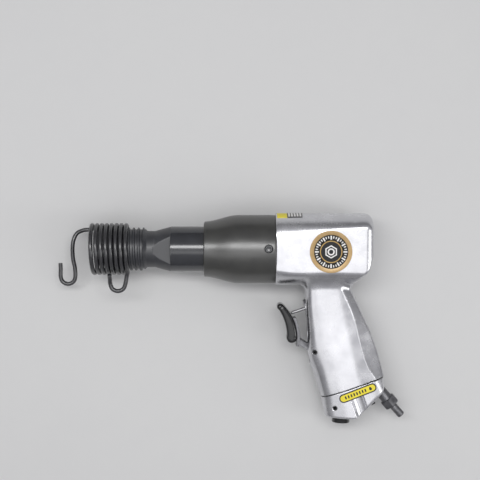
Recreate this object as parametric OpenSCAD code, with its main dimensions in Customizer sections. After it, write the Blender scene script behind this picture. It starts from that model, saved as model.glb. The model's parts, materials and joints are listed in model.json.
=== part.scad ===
// Pneumatic air hammer with a pistol grip, lying on its right side.
// Muzzle towards -X, spine towards +Y, grip towards -Y, left flank up (+Z).
// Origin: the mouth of the chisel bore, on the barrel's axis.

/* [Retainer spring] */
// Diameter of the retainer's wire
wire_d = 3.5; // [3:0.1:3.6]
// Mean radius of the retainer's coil
coil_r = 19.85; // [19.8:0.05:20.4]
// Distance from one turn of the coil to the next
coil_pitch = 4.04; // [4:0.01:4.2]

/* [Barrel] */
// Radius of the bore that takes the chisel's shank
shank_r = 5.15; // [5.12:0.01:5.2]
// Length of the shank bore
shank_bore_l = 40; // [30:1:42]
// Radius of the cylinder that the piston runs in
cylinder_r = 9.55; // [9.5:0.01:9.6]
// Outer radius of the barrel's plain length
barrel_r = 18.7; // [18.6:0.05:18.8]
// Distance of each wrench flat from the barrel's axis
wrench_flat = 15; // [14.6:0.1:16]

/* [Exhaust sleeve] */
// Where the sleeve starts, from the muzzle
sleeve_x = 81.3; // [80:0.1:83]
// Radius of the sleeve's front lip
sleeve_lip_r = 22.9; // [22.5:0.1:24]
// Radius of the sleeve's full round
sleeve_r = 28.2; // [27.5:0.1:29]

/* [Housing] */
// Where the housing's front face is, from the muzzle
housing_x = 140.2; // [140:0.1:142]
// Where the housing's back is, from the muzzle
housing_back = 219.9; // [219:0.1:222]
// Radius of the housing's round front
housing_r = 29.5; // [29:0.1:30]
// Distance of each flat flank from the mid-plane
flank_z = 24.5; // [24:0.1:25.5]

/* [Grip] */
// Lean of the grip, its foot towards the back
grip_tilt = 19; // [18:0.5:20]
// Half width of the grip at its foot
foot_half = 18.6; // [18:0.1:19]
// Width of the trigger's slot in the grip
trigger_width = 14; // [12:0.5:15]

/* [Air plug] */
// Width across the flats of the air plug's hexagon
plug_hex = 12.2; // [12:0.1:14]
// Radius of the air plug's free stub
stub_r = 3.2; // [3.1:0.1:3.6]
// Length of the air plug's free stub
stub_l = 10.6; // [10:0.1:13]

/* [Hidden] */
$fn = 64;

// Running clearance between a shaft and its hole, on the radius
running = 0.05;

// Barrel stations, from the muzzle
thread_end = 33;
cone_start = 40.7;
cone_end = 54;
neck_r = 15;
shoulder_x = 120;
shoulder_r = 20.9;
barrel_back = 155;
piston_front = 108;
piston_back = 148;
exhaust_x = 104;

// Valve stack behind the barrel
stack_r = 19.5;
case_back = 163;
cover_back = 168;
gasket_back = 169;
dowel_ring = 15.2;
dowel_r = 1.25;

// Sleeve stations
flare_start = 81.9;
flare_end = 109.6;
lock_x = 134.2;
// Turn of the lock screw about the barrel, from straight up towards the spine
lock_turn = 5;
lock_r = 3.2;

// Grip frame: x from front to back across the grip, y up the grip
seam_y = -173.5;
throttle_y = -100.6;
throttle_seat = 155.2;
throttle_back = 172;
trigger_pivot = [135.8, -135.9];
pin_r = 1.75;

// Grip sections: height, front edge, back edge, half width
GRIP = [
    [-72, 149.5, 178, 17.5],
    [-98, 141, 181, 16.4],
    [-118, 135.8, 183.2, 16],
    [-138, 129.3, 185, 16.9],
    [-156, 129, 184.9, 18],
    [seam_y, 128.2, 183.9, foot_half]
];
FOOT = [
    [seam_y, 128.2, 183.9, foot_half],
    [-203, 123, 186, foot_half + 0.5]
];
// Back corner of the grip: how far the flat flank stops short of the back, and the bevel's depth there
bevel_l = 8.5;
bevel_z = 5.5;
// Foot outline in the grip frame: x, y and corner radius
foot_front = [125.8, -189.9];
foot_low = [151, -199.5];
FOOT_OUTLINE = [
    [128.2, seam_y, 0], [foot_front.x, foot_front.y, 3], [foot_low.x, foot_low.y, 3], [163, -194.2, 8],
    [180.3, -185.4, 6], [183.9, seam_y, 0]
];
foot_slope = atan2(foot_low.y - foot_front.y, foot_low.x - foot_front.x);
regulator_mouth = [139.6, -195.1];
regulator_r = 8.1;
knob_r = 7.4;
knob_l = 6;
regulator_pin_at = [136.5, -184.7];
inlet_mouth = [178.7, -190.8];
inlet_turn = -68;
port_r = 4.86;

function unit(v) = v / norm(v);

// One corner of an outline, rounded by an arc of radius r
function corner(a, b, c, r, n) = r == 0 ? [b] :
    let (u = unit(a - b), v = unit(c - b), half = acos(u * v) / 2,
         m = b + unit(u + v) * r / sin(half),
         p = unit(b + u * r / tan(half) - m), q = unit(b + v * r / tan(half) - m))
    [for (i = [0:n]) m + r * unit((1 - i / n) * p + i / n * q)];

// An outline of [x, y, corner radius] points
function rounded(points, n = 6) = let (k = len(points))
    [for (i = [0:k - 1]) let (a = points[(i + k - 1) % k], b = points[i], c = points[(i + 1) % k])
        each corner([a.x, a.y], [b.x, b.y], [c.x, c.y], b.z, n)];

// A closed oval between an ellipse (power 2) and a box (high power), one power for each side of its Y axis
function oval(a, b, right, left, n = 44) = [for (i = [0:n - 1])
    let (t = 360 * i / n, power = cos(t) < 0 ? left : right)
    [a * sign(cos(t)) * pow(abs(cos(t)), 2 / power), b * sign(sin(t)) * pow(abs(sin(t)), 2 / power)]];

// A smooth curve through the points p, with n steps between two of them
function through(p, n) = let (k = len(p) - 1) concat(
    [for (i = [0:k - 1], j = [0:n - 1])
        let (t = j / n, a = p[max(i - 1, 0)], b = p[i], c = p[i + 1], d = p[min(i + 2, k)])
        0.5 * (2 * b + (c - a) * t + (2 * a - 5 * b + 4 * c - d) * t * t
            + (3 * b - a - 3 * c + d) * t * t * t)],
    [p[k]]);

// A turned shape about the X axis, from [x, radius] points
module turned(profile, angle = 360)
    rotate([0, 90, 0]) rotate_extrude(angle = angle) polygon([for (p = profile) [p.y, p.x]]);

// A rod along X
module rod(x0, x1, r) translate([x0, 0, 0]) rotate([0, 90, 0]) cylinder(r = r, h = x1 - x0);

// A ring of round section about the X axis
module seal_ring(x, ring_r, r)
    translate([x, 0, 0]) rotate([0, 90, 0]) rotate_extrude() translate([ring_r, 0]) circle(r = r, $fn = 24);

// A round hole in the mid-plane, from point a to point b
module drill(a, b, r) translate([a.x, a.y, 0])
    rotate([0, 0, atan2(b.y - a.y, b.x - a.x)]) rod(0, norm(b - a), r);

// A round hole across the tool
module cross_hole(at, r, half = 40) translate([at.x, at.y, -half]) cylinder(r = r, h = 2 * half);

// Copies round the barrel's axis
module around(n, start = 0) for (i = [0:n - 1]) rotate([start + 360 * i / n, 0, 0]) children();

module at_lock() translate([lock_x, 0, 0]) rotate([-lock_turn, 0, 0]) children();
module in_grip() rotate([0, 0, grip_tilt]) children();
module at_throttle() in_grip() translate([0, throttle_y, 0]) children();
module at_regulator() in_grip() translate([regulator_mouth.x, regulator_mouth.y, 0])
    rotate([0, 0, foot_slope - 90]) children();
module at_inlet() in_grip() translate([inlet_mouth.x, inlet_mouth.y, 0])
    rotate([0, 0, inlet_turn]) children();

// A wire of radius r swept along a path of points
module wire(path, r, sides) {
    last = len(path) - 1;
    tangents = [for (i = [0:last]) unit(path[min(i + 1, last)] - path[max(i - 1, 0)])];
    first = unit(cross(tangents[0], [0.3, 0.2, 0.9]));
    normals = [for (i = 0, n = first; i <= last;
        i = i + 1, n = i > last ? n : unit(n - tangents[i] * (n * tangents[i]))) n];
    rings = [for (i = [0:last], j = [0:sides - 1])
        let (turn = 360 * j / sides)
        path[i] + r * (cos(turn) * normals[i] + sin(turn) * cross(tangents[i], normals[i]))];
    walls = [for (i = [0:last - 1], j = [0:sides - 1]) let (k = (j + 1) % sides)
        [i * sides + j, (i + 1) * sides + j, (i + 1) * sides + k, i * sides + k]];
    polyhedron(rings, concat(walls,
        [[for (j = [0:sides - 1]) j]], [[for (j = [sides - 1:-1:0]) last * sides + j]]), convexity = 10);
}

// Barrel: thread for the retainer, neck, cone with two wrench flats, cylinder and rear shoulder
module barrel() color("#2b2d33") difference() {
    turned(concat(
        [[0, 0], [0, 15], [1.2, 16.4]],
        [for (i = [0:7], p = [[0, 16.4], [1, 17.85], [2, 17.85], [3, 16.4]])
            [1.8 + i * coil_pitch + p.x * 0.8, p.y]],
        [[thread_end, neck_r + 0.6], [thread_end + 1, neck_r], [cone_start, neck_r],
         [cone_end, barrel_r - 0.1], [cone_end + 0.4, barrel_r], [shoulder_x, barrel_r],
         [shoulder_x, shoulder_r], [barrel_back, shoulder_r], [barrel_back, 0]]));
    turned([[-1, 0], [-1, shank_r], [shank_bore_l, shank_r], [shank_bore_l + 3, cylinder_r],
            [barrel_back + 1, cylinder_r], [barrel_back + 1, 0]]);
    for (side = [0, 180]) rotate([side, 0, 0])
        translate([cone_start - 6, -20, wrench_flat]) cube([cone_end - cone_start + 6, 40, 20]);
    around(6) translate([exhaust_x, 0, 0]) cylinder(r = 2, h = 30);
    around(2, 30) {
        translate([0, 0, 14.2]) rod(47, barrel_back + 1, 1.3);
        translate([48.3, 0, 0]) cylinder(r = 1.3, h = 14.2);
    }
    around(2) translate([0, dowel_ring, 0]) rod(barrel_back - 6, barrel_back + 1, dowel_r);
    at_lock() translate([0, 0, shoulder_r - 0.8]) cylinder(r = lock_r + 0.1, h = 5);
}

// Retainer: one wire with a front loop that keeps the chisel in, a coil and a finger loop
coil_start = -35;
coil_turns = 7.5;
coil_x = -11.8;
coil_steps = 150;
coil = [for (i = [0:coil_steps]) let (a = coil_start + 360 * coil_turns * i / coil_steps)
    [coil_x + coil_pitch * coil_turns * i / coil_steps, coil_r * cos(a), coil_r * sin(a)]];
// Half round bend of a loop, from its inner leg to its outer leg
function bend(centre, r, z, from, to) = [for (i = [0:4]) let (a = from + (to - from) * i / 4)
    [centre.x + r * cos(a), centre.y + r * sin(a), z]];
front_loop = concat([[-39.4, -12.5, -9.3], [-39.3, -17.5, -9.3]],
    bend([-33.2, -24.1], 6.1, -9.3, 180, 360),
    [[-27.3, -17, -9.3], [-28.8, -9, -9.3], [-29.2, 0, -9.4], [-28.2, 7, -10],
     [-25.6, 12.2, -11.2], [-20.6, 14.6, -12.8], [-15.8, 15.2, -13.2]]);
rear_loop = concat([[18.5, -18.7, 9.1], [17.7, -22, 7.9]],
    bend([10.3, -27.9], 6.3, 7.6, 0, -180),
    [[4, -24, 9.6], [4, -20, 12.8]]);
module retainer_spring() color("#1d1e22")
    wire(concat(through(concat(front_loop, [coil[0]]), 4), [for (i = [1:coil_steps - 1]) coil[i]],
        through(concat([coil[coil_steps]], rear_loop), 4)), wire_d / 2, 10);

// Sleeve round the barrel's back half: collects the exhaust and lets it out at its front lip
function flare(t) = sleeve_lip_r + (sleeve_r - sleeve_lip_r) * t * t * (3 - 2 * t);
module exhaust_sleeve() color("#2a2b28") difference() {
    turned(concat([[sleeve_x, 15], [sleeve_x, sleeve_lip_r - 0.6]],
        [for (i = [0:12]) [flare_start + (flare_end - flare_start) * i / 12, flare(i / 12)]],
        [[housing_x - 0.4, sleeve_r], [housing_x, sleeve_r - 0.4], [housing_x, 15]]));
    turned([[sleeve_x - 1, 0], [sleeve_x - 1, 21], [sleeve_x, 21], [sleeve_x + 0.4, 20.7],
            [96, 20.7], [96, 18.75], [99, 18.75], [99, 21.5], [112, 21.5], [112, 18.75], [shoulder_x, 18.75],
            [shoulder_x, shoulder_r + running], [housing_x + 1, shoulder_r + running], [housing_x + 1, 0]]);
    around(8) translate([0, 0, 19.4]) rod(94, 100, 1.2);
    at_lock() cylinder(r = lock_r + running, h = 40);
}

// Porous ring in the sleeve's mouth
module exhaust_muffler() color("#5d5a52") difference() {
    rod(84.5, 94, 20.65);
    rod(80, 98, barrel_r + 0.05);
}

// Socket screw that locks the sleeve to the barrel
module sleeve_lock_screw() color("#3a3b3d") at_lock() difference() {
    translate([0, 0, shoulder_r - 0.7]) cylinder(r = lock_r, h = 28 - shoulder_r + 0.7);
    translate([0, 0, 25.6]) cylinder(r = 1.5, h = 5, $fn = 6);
    translate([0, 0, 27.6]) cylinder(r = 1.9, h = 1);
}

// Free piston with a hollow back
module piston() color("#9a9c9f") turned([
    [piston_front, 0], [piston_front, 5.2], [piston_front + 2.4, 8.1], [piston_front + 5, 8.1],
    [piston_front + 6.4, cylinder_r - running],
    [piston_back - 1, cylinder_r - running], [piston_back, cylinder_r - 1],
    [piston_back, 5.5], [piston_back - 12, 5.5], [piston_back - 14, 3], [piston_back - 14, 0]]);

// Valve case: front half of the valve, with a nose in the cylinder and the disc's chamber behind
module valve_case() color("#8d8f92") difference() {
    union() {
        rod(barrel_back, case_back, stack_r);
        rod(barrel_back - 4.5, barrel_back + 1, cylinder_r - running);
    }
    rod(barrel_back - 6, case_back, 3.2);
    rod(159.4, case_back + 1, 13);
    around(6, 30) translate([0, 0, 10.6]) rod(barrel_back - 1, 160, 1.4);
    around(2, 30) translate([0, 0, 14.2]) rod(barrel_back - 1, case_back + 1, 1.3);
    around(2) translate([0, dowel_ring, 0]) rod(barrel_back - 1, case_back + 1, dowel_r);
}

// Valve disc: flutters between its two seats
module valve_disc() color("#b9bbbe") difference() {
    rod(159.5, 161.7, 12.7);
    rod(159, 162, 4);
}

// Valve cover: back half of the valve
module valve_cover() color("#84868a") difference() {
    rod(case_back, cover_back, stack_r);
    around(6) translate([0, 0, 8.5]) rod(case_back - 1, cover_back + 1, 2);
    around(2, 30) translate([0, 0, 14.2]) rod(case_back - 1, cover_back + 1, 1.3);
    around(2) translate([0, dowel_ring, 0]) rod(case_back - 1, cover_back - 1.5, dowel_r);
}

// Two dowels that line up barrel, valve case and valve cover
module valve_dowels() color("#c4c6c8") around(2) translate([0, dowel_ring, 0])
    rod(barrel_back - 5.5, cover_back - 2, dowel_r - 0.02);

// Gasket between the valve cover and the housing's inner shoulder
module valve_gasket() color("#6b5b3e") difference() {
    rod(cover_back, gasket_back, stack_r);
    rod(cover_back - 1, gasket_back + 1, 13.2);
}

// One thin slice of the housing's round-to-square body, across X, drawn in by inset;
// upper and lower are the powers of its section above and below the barrel's axis
module body_slice(x, inset, upper, lower) translate([x, 0, 0]) rotate([90, 0, 90])
    linear_extrude(height = 0.02, center = true) intersection() {
        polygon(oval(housing_r - inset, housing_r - inset, upper, lower, 72));
        square([2 * housing_r, 2 * (flank_z - inset)], center = true);
    }

// The housing's body, its lower back corner cut away along the side outline
module body_shell() intersection() {
    hull() {
        body_slice(housing_x + 0.01, 0, 2, 2);
        body_slice(housing_x + 12, 0, 2.08, 2.2);
        body_slice(housing_x + 46, 0, 2.3, 2.2);
        body_slice(housing_back - 8, 0, 2.5, 2.3);
        body_slice(housing_back - 2.4, 2.2, 2.5, 2.3);
        body_slice(housing_back, 7, 2.5, 2.3);
    }
    linear_extrude(height = 80, center = true) polygon(rounded([
        [housing_x, -housing_r, 0], [housing_x, housing_r, 0], [housing_back, housing_r, 7],
        [housing_back, -6, 4], [215.8, -17.5, 6], [202.5, -29.5, 4]]));
}

// The grip's section: round in front, with flat flanks and a bevel on each back corner
module grip_section(a, b) intersection() {
    polygon(oval(a, b, 5, 3.2));
    polygon([[-a, -b], [a - bevel_l, -b], [a, bevel_z - b], [a, b - bevel_z], [a - bevel_l, b], [-a, b]]);
}

// One thin slice across the grip
module grip_slice(s) translate([(s[1] + s[2]) / 2, s[0], 0]) rotate([90, 0, 0])
    linear_extrude(height = 0.02, center = true) grip_section((s[2] - s[1]) / 2, s[3]);

module grip_solid(sections) for (i = [0:len(sections) - 2]) hull() {
    grip_slice(sections[i]);
    grip_slice(sections[i + 1]);
}

// Housing: barrel socket and pistol grip, one casting
module housing() color("#b4b5ba") difference() {
    union() {
        body_shell();
        in_grip() grip_solid(GRIP);
    }
    turned([[housing_x - 1, 0], [housing_x - 1, shoulder_r + running], [barrel_back, shoulder_r + running],
            [barrel_back, stack_r + running], [gasket_back, stack_r + running],
            [gasket_back, 14], [178, 14], [182, 10], [182, 0]]);
    in_grip() {
        translate([0, throttle_y, 0]) rod(130, throttle_back, 7.5);
        drill([150, -176], [161, throttle_y], 5);
        cross_hole(trigger_pivot, pin_r);
        translate([120, -143.5, -trigger_width / 2 + 0.1]) cube([21.5, 24.5, trigger_width - 0.2]);
        for (side = [-1, 1]) translate([166, 0, 11 * side]) rotate([90, 0, 0])
            translate([0, 0, 158]) cylinder(r = 2, h = 20);
    }
    drill([171.7, -47.3], [174, -11], 4);
    in_grip() translate([100, seam_y - 20, -40]) cube([100, 20.3, 80]);
}

// Back and front arcs of the trigger pad, in the tool's frame
pad_back = [121.6, -73];
pad_back_r = 36.9;
pad_front = [107.7, -73];
pad_front_r = 42.3;
pad_tip = [144.2, -47.5];
pad_foot = [153.9, -73.7];
pivot_world = [trigger_pivot.x * cos(grip_tilt) - trigger_pivot.y * sin(grip_tilt),
               trigger_pivot.x * sin(grip_tilt) + trigger_pivot.y * cos(grip_tilt)];

// Trigger pad: a curved finger piece, hollow to the front
module trigger_pad() color("#17171a") linear_extrude(height = trigger_width + 1, center = true) {
    difference() {
        translate(pad_back) circle(r = pad_back_r, $fn = 160);
        translate(pad_front) circle(r = pad_front_r, $fn = 160);
        translate([100, pad_foot.y - 100]) square([100, 100]);
        translate(pad_tip) rotate(35) translate([-60, 0]) square([120, 60]);
    }
    translate(pad_tip) circle(r = 2.6);
    translate(pad_foot) circle(r = 4.2);
}

// Trigger lever: a strap behind the pad and two ears on the pivot pin
lever_t = 2.2;
ear_t = 1.8;
ear_start = [160.4, -77.2];
module trigger_lever() color("#8b8d90") difference() {
    union() {
        linear_extrude(height = trigger_width - 1.2, center = true) difference() {
            translate(pad_back) circle(r = pad_back_r + lever_t, $fn = 160);
            translate(pad_back) circle(r = pad_back_r, $fn = 160);
            translate([80, -57]) square([100, 100]);
            translate([80, -180.5]) square([100, 100]);
            translate([50, -100]) square([90, 100]);
        }
        for (side = [-1, 1])
            translate([0, 0, side * (trigger_width / 2 - 0.6 - ear_t / 2)])
                linear_extrude(height = ear_t, center = true) {
                    translate(pivot_world) circle(r = 4.2);
                    translate(ear_start)
                        rotate(atan2(pivot_world.y - ear_start.y, pivot_world.x - ear_start.x))
                            translate([-2, -2.1]) square([norm(pivot_world - ear_start) + 2, 4.4]);
                }
    }
    cross_hole(pivot_world, pin_r + running);
}

module trigger_pin() color("#232326") difference() {
    translate([pivot_world.x, pivot_world.y, -13]) cylinder(r = pin_r - 0.01, h = 26);
    translate([pivot_world.x, pivot_world.y, -14]) cylinder(r = 0.8, h = 28);
}

// Throttle bushing: guides the stem and carries the valve's seat
module throttle_bushing() color("#b5954a") at_throttle() difference() {
    rod(140.4, throttle_seat, 7.45);
    rod(140, 145, 1.3);
    rod(144.5, 152, 4.6);
    rod(151, throttle_seat + 1, 3.3);
    translate([148, 0, 0]) rotate([90, 0, 0]) cylinder(r = 2.2, h = 20, center = true);
    difference() {
        rod(152.4, 153.7, 8);
        rod(152, 154, 6.3);
    }
}

module throttle_bushing_seal() color("#111112") at_throttle() seal_ring(153.05, 6.9, 0.52);

// Throttle valve: the trigger pushes its stem back and its head off the seat
module throttle_valve() color("#c3c5c8") at_throttle() difference() {
    union() {
        translate([128.75, 0, 0]) sphere(r = 1.25);
        rod(128.75, 157, 1.25);
        rod(156.1, 159.6, 5.8);
        rod(159.5, 162, 2.8);
    }
    difference() {
        rod(155, 156.75, 5.05);
        rod(154, 157, 3.5);
    }
}

module throttle_valve_seal() color("#111112") at_throttle() seal_ring(156, 4.28, 0.7);

// Throttle spring: shuts the valve and brings the trigger back
spring_turns = 5;
module throttle_spring() color("#a9abad") at_throttle()
    wire([for (i = [0:70]) [160.2 + 11.2 * i / 70, 4 * cos(360 * spring_turns * i / 70),
        4 * sin(360 * spring_turns * i / 70)]], 0.5, 6);

// The foot's outer shape
module foot_solid() intersection() {
    grip_solid(FOOT);
    linear_extrude(height = 80, center = true) polygon(rounded(FOOT_OUTLINE));
}

// End cap: the grip's foot, with the inlet port and the regulator's bore
module end_cap() color("#b0b1b6") difference() {
    in_grip() difference() {
        foot_solid();
        translate([100, seam_y - 0.3, -40]) cube([100, 20, 80]);
        for (side = [-1, 1]) {
            translate([156.4, -181, side * (foot_half + 2.9)]) rotate([90, 0, 0]) cylinder(r = 6, h = 40);
            translate([166, -160, 11 * side]) rotate([90, 0, 0]) cylinder(r = 2.1, h = 60);
            translate([166, -188.5, 11 * side]) rotate([90, 0, 0]) cylinder(r = 3.8, h = 30);
        }
        drill([145.5, -181.5], [150, -170], 4);
        drill([174.5, -180.3], [146, -182.3], 3);
        cross_hole(regulator_pin_at, pin_r);
    }
    at_inlet() rod(-14, 8, port_r);
    at_regulator() rod(-18, 8, regulator_r + 0.12);
}

// Gasket in the seam between grip and foot
module end_cap_gasket() color("#1a1a1c") in_grip() difference() {
    translate([156.05, seam_y - 0.28, 0]) rotate([-90, 0, 0])
        linear_extrude(height = 0.56) grip_section(27.3, foot_half - 0.5);
    drill([145, -184], [150, -165], 5);
    for (side = [-1, 1]) translate([166, -160, 11 * side]) rotate([90, 0, 0]) cylinder(r = 2.1, h = 60);
}

// Two socket screws that hold the foot on
module end_cap_screws() color("#2a2a2c") in_grip() for (side = [-1, 1])
    translate([166, -160, 11 * side]) rotate([90, 0, 0]) difference() {
        union() {
            cylinder(r = 1.95, h = 30);
            translate([0, 0, 28.5]) cylinder(r = 3.6, h = 4);
        }
        translate([0, 0, 30.2]) cylinder(r = 1.7, h = 4, $fn = 6);
    }

// Air regulator: a turned spindle whose half-moon end meters the air
module regulator_spindle() color("#1b1b1e") at_regulator() difference() {
    union() {
        rod(-17.5, -0.4, regulator_r);
        rod(-1, knob_l, knob_r);
    }
    translate([-22, 0, -20]) cube([10.1, 40, 40]);
    difference() {
        rod(-10.9, -6.3, 12);
        rod(-12, -6, 4.4);
    }
    difference() {
        rod(-5.2, -3.4, 12);
        rod(-6, -3, 6.4);
    }
    translate([knob_l - 1.2, -10, -0.8]) cube([3, 20, 1.6]);
}

module regulator_seal() color("#111112") at_regulator() seal_ring(-4.3, 7.3, 0.85);

module regulator_pin() color("#232326") in_grip() difference() {
    translate([regulator_pin_at.x, regulator_pin_at.y, -15.5]) cylinder(r = pin_r - 0.01, h = 31);
    translate([regulator_pin_at.x, regulator_pin_at.y, -17]) cylinder(r = 0.8, h = 34);
}

// Air plug: screwed into the foot, its stub takes the hose's coupling
hex_from = 4.3;
hex_to = 11.3;
stub_from = 12.5;
module inlet_plug() color("#6f7175") at_inlet() difference() {
    union() {
        rod(-10, hex_from + 0.2, port_r - 0.06);
        intersection() {
            translate([hex_from, 0, 0]) rotate([0, 90, 0])
                cylinder(d = plug_hex / cos(30), h = hex_to - hex_from, $fn = 6);
            turned([[hex_from, 0], [hex_from, plug_hex / 2], [hex_from + 0.7, plug_hex / 2 + 1.1],
                    [hex_to - 0.7, plug_hex / 2 + 1.1], [hex_to, plug_hex / 2], [hex_to, 0]]);
        }
        rod(hex_to - 0.2, stub_from + 0.2, stub_r - 0.5);
        turned([[stub_from, 0], [stub_from, stub_r], [stub_from + stub_l - 0.6, stub_r],
                [stub_from + stub_l, stub_r - 0.6], [stub_from + stub_l, 0]]);
    }
    rod(-12, 40, 1.9);
}

// Strainer thimble at the bottom of the inlet port
module inlet_screen() color("#c2b280") at_inlet() difference() {
    rod(-13.6, -10.2, 4.5);
    rod(-13, -9, 3.9);
    around(6) translate([-11.8, 0, 0]) cylinder(r = 0.7, h = 10);
}

// Round badge on the left flank
badge_at = [184.6, -0.2];
badge_r = 17.3;
badge_ring = [9, 13.9];
module badge() color("#b9824a") translate([badge_at.x, badge_at.y, flank_z]) difference() {
    cylinder(r = badge_r, h = 0.6);
    translate([0, 0, 0.35]) difference() {
        cylinder(r = badge_ring[1], h = 1);
        cylinder(r = badge_ring[0], h = 1, center = true);
    }
}

// A label on the foot's flank, lying on its curved skin
label_r = 3.6;
label_reach = 12.45;
module oil_label() color("#e8d23a") in_grip() difference() {
    intersection() {
        translate([0, 0, 0.35]) foot_solid();
        translate([158.3, -178.4, 0]) rotate([0, 0, 2.5]) linear_extrude(height = 30) {
            square([2 * label_reach, 2 * label_r], center = true);
            for (side = [-1, 1]) translate([label_reach * side, 0]) circle(r = label_r);
        }
    }
    foot_solid();
}

// A label on the spine, just behind the sleeve
module top_label() color("#e6c22e") difference() {
    intersection() {
        translate([0, 0.3, 0]) body_shell();
        translate([housing_x + 1, 20, -6]) cube([21, 20, 19]);
    }
    body_shell();
}

barrel();
retainer_spring();
exhaust_sleeve();
exhaust_muffler();
sleeve_lock_screw();
piston();
valve_case();
valve_disc();
valve_cover();
valve_dowels();
valve_gasket();
housing();
trigger_lever();
trigger_pad();
trigger_pin();
throttle_bushing();
throttle_bushing_seal();
throttle_valve();
throttle_valve_seal();
throttle_spring();
end_cap();
end_cap_gasket();
end_cap_screws();
regulator_spindle();
regulator_seal();
regulator_pin();
inlet_plug();
inlet_screen();
badge();
oil_label();
top_label();
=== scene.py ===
"""The pneumatic air hammer lying on its right side on a pale floor, under soft studio light.

Lengths are in millimetres in this script, in the tool's frame: muzzle towards -X, spine towards +Y and the
left flank up (+Z). Only the lamps and the camera are placed in metres.
"""

import json
import math

import bmesh
import bpy
import numpy as np
from mathutils import Matrix, Vector


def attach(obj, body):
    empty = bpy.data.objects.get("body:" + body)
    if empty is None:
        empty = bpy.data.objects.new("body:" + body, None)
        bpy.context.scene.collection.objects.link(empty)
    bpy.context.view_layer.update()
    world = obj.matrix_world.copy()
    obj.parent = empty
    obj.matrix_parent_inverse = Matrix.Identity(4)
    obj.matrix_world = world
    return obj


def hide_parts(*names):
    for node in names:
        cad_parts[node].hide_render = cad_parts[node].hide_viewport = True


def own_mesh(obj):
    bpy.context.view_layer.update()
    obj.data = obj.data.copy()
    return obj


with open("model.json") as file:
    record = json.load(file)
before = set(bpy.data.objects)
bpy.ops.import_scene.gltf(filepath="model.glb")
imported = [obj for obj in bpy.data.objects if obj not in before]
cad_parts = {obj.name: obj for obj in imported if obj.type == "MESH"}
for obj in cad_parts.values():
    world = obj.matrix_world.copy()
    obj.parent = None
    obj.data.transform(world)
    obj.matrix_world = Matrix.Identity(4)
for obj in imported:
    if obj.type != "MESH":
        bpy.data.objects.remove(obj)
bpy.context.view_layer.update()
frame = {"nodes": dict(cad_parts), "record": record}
MM = 0.001

# ---------------------------------------------------------------- dimensions
# Barrel: bore and cylinder, retainer's thread, neck with its wrench flats, cone, and the end in the housing
SHANK_R, SHANK_BORE = 5.15, 40.0
CYLINDER_R, CYLINDER_FROM = 9.55, 43
PITCH, ROOT_R, CREST_R = 4.04, 16.4, 17.85
THREAD_START, THREAD_TO, THREAD_EASE = 1.8, 33.4, 2.2
RIDGE_WIDTH, RIDGE_FLANK = 0.58, 0.17
NECK_R, NECK_FROM = 15.0, 35.1
FLAT_Z, FLAT_FROM = 14.62, 40.3
CONE_FROM, CONE_TO = 40.7, 54.0
BARREL_R, TAIL_R = 18.7, 20.9
TAIL_FROM, BARREL_TO = 120.0, 155
TAIL_BORE_R = 20.95

# Exhaust sleeve and its lock screw
SLEEVE_FROM, SLEEVE_TO = 81.3, 140.2
SLEEVE_LIP, SLEEVE_R = 22.9, 28.2
FLARE_FROM, FLARE_TO = 81.9, 109.6
SLEEVE_BORE_R, CHAMBER_R = 18.76, 21.5
LOCK_X, LOCK_TURN, LOCK_R = 134.2, math.radians(5), 3.2

# Housing: body, and bores on the barrel's axis as (radius, start, end)
HOUSING_R, FLANK_Z, HOUSING_BACK = 29.5, 24.5, 219.9
BACK_CORNER = [(202.5, -29.5), (215.8, -17.5), (HOUSING_BACK, -6)]
HOUSING_BORES = ((TAIL_BORE_R, 100, 155), (19.55, 150, 169), (13.5, 160, 180))

# The grip leans by TILT, and its sizes are in its own frame: u across it and v up along it.
# Its front, back and half thickness follow curves through HEIGHTS, the bevels on its back corners through
# BEVEL_HEIGHTS, and the front edge of the sloping facet on each flank through FACET_HEIGHTS.
TILT = math.radians(19)
SEAM = -173.5
SEAM_GAP, SEAM_EASE = 0.3, 0.2
GRIP_TOP = -64
FOOT_HALF = 18.6
HEIGHTS = [SEAM, -156, -138, -118, -98, -72]
FRONTS = [128.2, 129.0, 129.3, 135.8, 141.0, 149.5]
BACKS = [183.9, 184.9, 185.0, 183.2, 181.0, 178.0]
HALVES = [FOOT_HALF, 18.0, 16.9, 16.0, 16.4, 17.5]
BEVEL_HEIGHTS = [SEAM, -160, -150, -141, -133, -124, -116, -98, -72]
BEVEL_LENGTHS = [10.2, 13.8, 14.2, 13.6, 12.4, 10.4, 9.0, 7.6, 7.0]
BEVEL_DEPTHS = [6.0, 7.9, 8.1, 7.7, 7.0, 6.3, 5.8, 5.5, 5.5]
FOOT_BEVEL = 8.5, 5.5
FACET_HEIGHTS = [-165, -150, -125, -101, -72]
FACET_EDGE = [162.3, 163.3, 166.6, 170, 172]
FACET_SLOPE, FACET_SCALE = 0.11, 1.006

# Trigger and throttle, in the grip's frame, but for the pad, which is in the tool's
TRIGGER_PIN = (135.8, -135.9)
PIN_BORE_R, THROUGH = 1.75, (-40, 40)
LEVER_SLOT_V, LEVER_SLOT_REACH, LEVER_SLOT_BACK, LEVER_SLOT_HALF = -131.25, 12.25, 141.5, 6.9
THROTTLE_V, THROTTLE_BORE_R = -100.6, 7.5
SPRING_FROM, SPRING_LENGTH, SPRING_R, SPRING_TURNS = 160.2, 11.2, 4, 5
SPRING_END, SPRING_WIRE_R = 171.9, 0.5
PAD_TIP, PAD_FOOT = (144.2, -47.5), (153.9, -73.7)
PAD_TIP_R, PAD_FOOT_R = 2.6, 4.2
PAD_FRONT_ARC, PAD_BACK_ARC, PAD_ARC_Y = (121.6, 36.9), (107.7, 42.3), -73

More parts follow.
